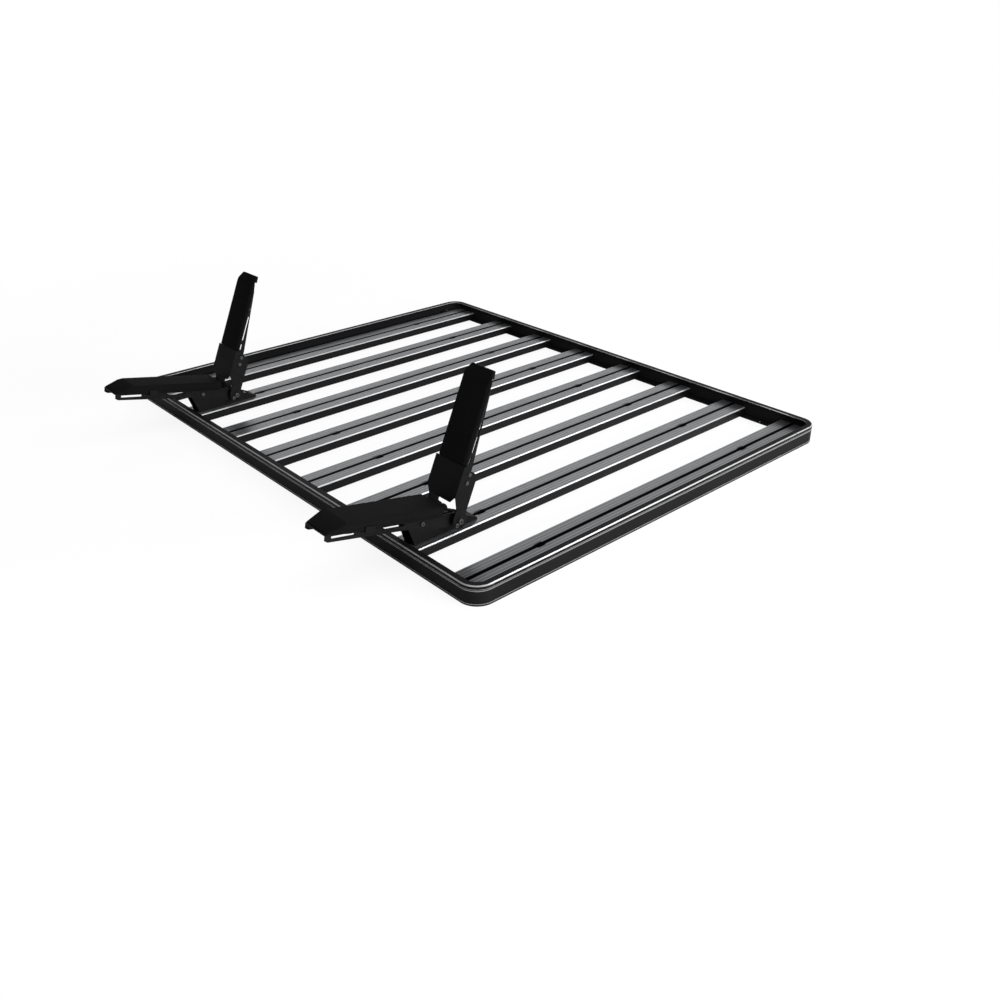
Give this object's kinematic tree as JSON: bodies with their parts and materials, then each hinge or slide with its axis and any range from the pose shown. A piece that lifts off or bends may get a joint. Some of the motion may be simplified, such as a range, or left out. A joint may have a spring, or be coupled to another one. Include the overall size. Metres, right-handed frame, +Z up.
{
  "type": "roof platform with kayak carrier",
  "caption": "Slatted vehicle roof platform with two folding padded L-shaped cradles that hold a kayak on its side.",
  "frame": {"origin": "centre of the pattern of leg holes, on the plane of the platform's underside", "axes": "+X across the vehicle towards its right side, away from the cradles; +Y along it towards its front; +Z up"},
  "size_m": [1.4468, 1.56, 0.3859],
  "materials": {
    "rail_black": "black powder coat, satin",
    "corner_black": "black powder coat, satin",
    "slat_black": "black anodised, satin with a sheen",
    "bracket_black": "black powder coat, matt",
    "tray_black": "black powder coat, matt",
    "pad_rubber": "matt, fine grain",
    "zinc_steel": "zinc plated",
    "black_bolt": "black oxide, semi-matt",
    "spacer_plastic": "matt"
  },
  "bodies": {
    "rack": {"side_rail_left": "rail_black", "side_rail_right": "rail_black", "end_rail_rear": "rail_black", "end_rail_front": "rail_black", "corner_front_right": "corner_black", "corner_rear_right": "corner_black", "corner_front_left": "corner_black", "corner_rear_left": "corner_black", "slat_1": "slat_black", "slat_2": "slat_black", "slat_3": "slat_black", "slat_4": "slat_black", "slat_5": "slat_black", "slat_6": "slat_black", "slat_7": "slat_black", "slat_8": "slat_black", "slat_screws": "zinc_steel", "corner_bolts": "black_bolt", "rear_foot_bracket": "bracket_black", "rear_base_tray": "tray_black", "rear_base_pad": "pad_rubber", "rear_base_pad_screws": "zinc_steel", "rear_pivot_bolt": "black_bolt", "rear_pivot_nut": "black_bolt", "rear_pivot_spacers": "spacer_plastic", "rear_guide_bolt": "black_bolt", "rear_guide_nut": "black_bolt", "rear_tray_bolt": "black_bolt", "rear_tray_nut": "black_bolt", "rear_tray_spacers": "spacer_plastic", "rear_slot_bolts": "zinc_steel", "rear_slot_washers": "zinc_steel", "rear_slot_nuts": "zinc_steel", "front_foot_bracket": "bracket_black", "front_base_tray": "tray_black", "front_base_pad": "pad_rubber", "front_base_pad_screws": "zinc_steel", "front_pivot_bolt": "black_bolt", "front_pivot_nut": "black_bolt", "front_pivot_spacers": "spacer_plastic", "front_guide_bolt": "black_bolt", "front_guide_nut": "black_bolt", "front_tray_bolt": "black_bolt", "front_tray_nut": "black_bolt", "front_tray_spacers": "spacer_plastic", "front_slot_bolts": "zinc_steel", "front_slot_washers": "zinc_steel", "front_slot_nuts": "zinc_steel"},
    "rear_arm": {"rear_arm_bracket": "bracket_black", "rear_arm_tray": "tray_black", "rear_arm_pad": "pad_rubber", "rear_arm_pad_screws": "zinc_steel", "rear_joint_screws": "black_bolt"},
    "front_arm": {"front_arm_bracket": "bracket_black", "front_arm_tray": "tray_black", "front_arm_pad": "pad_rubber", "front_arm_pad_screws": "zinc_steel", "front_joint_screws": "black_bolt"}
  },
  "joints": [
    {"name": "rear_arm_fold", "type": "hinge", "parent": "rack", "child": "rear_arm", "pos_m": [-0.476, -0.505, 0.06], "axis": [0, 1, 0], "range_deg": [0, 74]},
    {"name": "front_arm_fold", "type": "hinge", "parent": "rack", "child": "front_arm", "pos_m": [-0.476, 0.505, 0.06], "axis": [0, 1, 0], "range_deg": [0, 74]}
  ]
}
